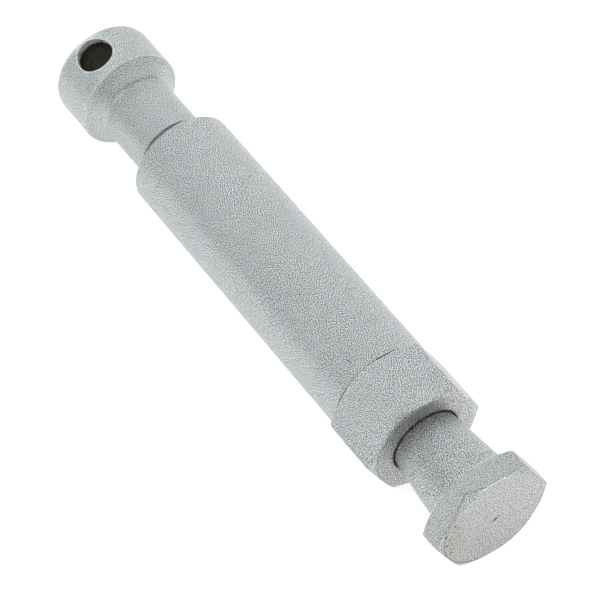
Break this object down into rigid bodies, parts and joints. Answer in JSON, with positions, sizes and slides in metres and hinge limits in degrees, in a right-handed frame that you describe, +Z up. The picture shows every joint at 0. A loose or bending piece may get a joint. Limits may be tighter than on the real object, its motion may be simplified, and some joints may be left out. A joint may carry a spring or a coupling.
{
  "type": "knee kicker shank",
  "caption": "Sprung steel shank with a cross-drilled knob, a waist, a round barrel, a hexagon collar and a sliding, turning plunger with a tapered neck and thin hexagon head.",
  "frame": {"origin": "on the shank's axis, half way along its whole length, at the centre of its box", "axes": "+X along the axis from the cross-drilled knob to the hexagon head, +Z up with the shank lying on the lower flats of its two hexagons"},
  "size_m": [0.1176, 0.022, 0.019],
  "materials": {
    "blasted_steel": "fine grit-blasted, matt, pale cool grey",
    "bronze": "turned bearing bronze",
    "rubber": "matt black nitrile",
    "turned_steel": "turned, lightly oiled",
    "ring_plastic": "filled bearing plastic",
    "plated_steel": "bright zinc plated",
    "spring_steel": "drawn, oiled spring wire"
  },
  "bodies": {
    "barrel_group": {"barrel": "blasted_steel", "end_fitting": "blasted_steel", "gland_nut": "blasted_steel", "guide_bush": "bronze", "wiper_ring": "rubber", "stop_washer": "rubber", "spring_seat": "turned_steel", "bump_stop": "rubber", "return_spring": "spring_steel"},
    "piston_group": {"guide_piston": "turned_steel", "piston_ring": "ring_plastic"},
    "plunger_group": {"plunger": "blasted_steel", "stem_washer": "plated_steel", "stem_nut": "plated_steel"}
  },
  "joints": [
    {"name": "plunger_push", "type": "slide", "parent": "barrel_group", "child": "piston_group", "axis": [-1, 0, 0], "range_m": [0, 0.0022], "stiffness_N_per_m": 15000, "springref_m": -0.004, "deforming": ["return_spring"]},
    {"name": "plunger_spin", "type": "hinge", "parent": "piston_group", "child": "plunger_group", "pos_m": [0, 0, 0], "axis": [1, 0, 0], "continuous": true}
  ]
}
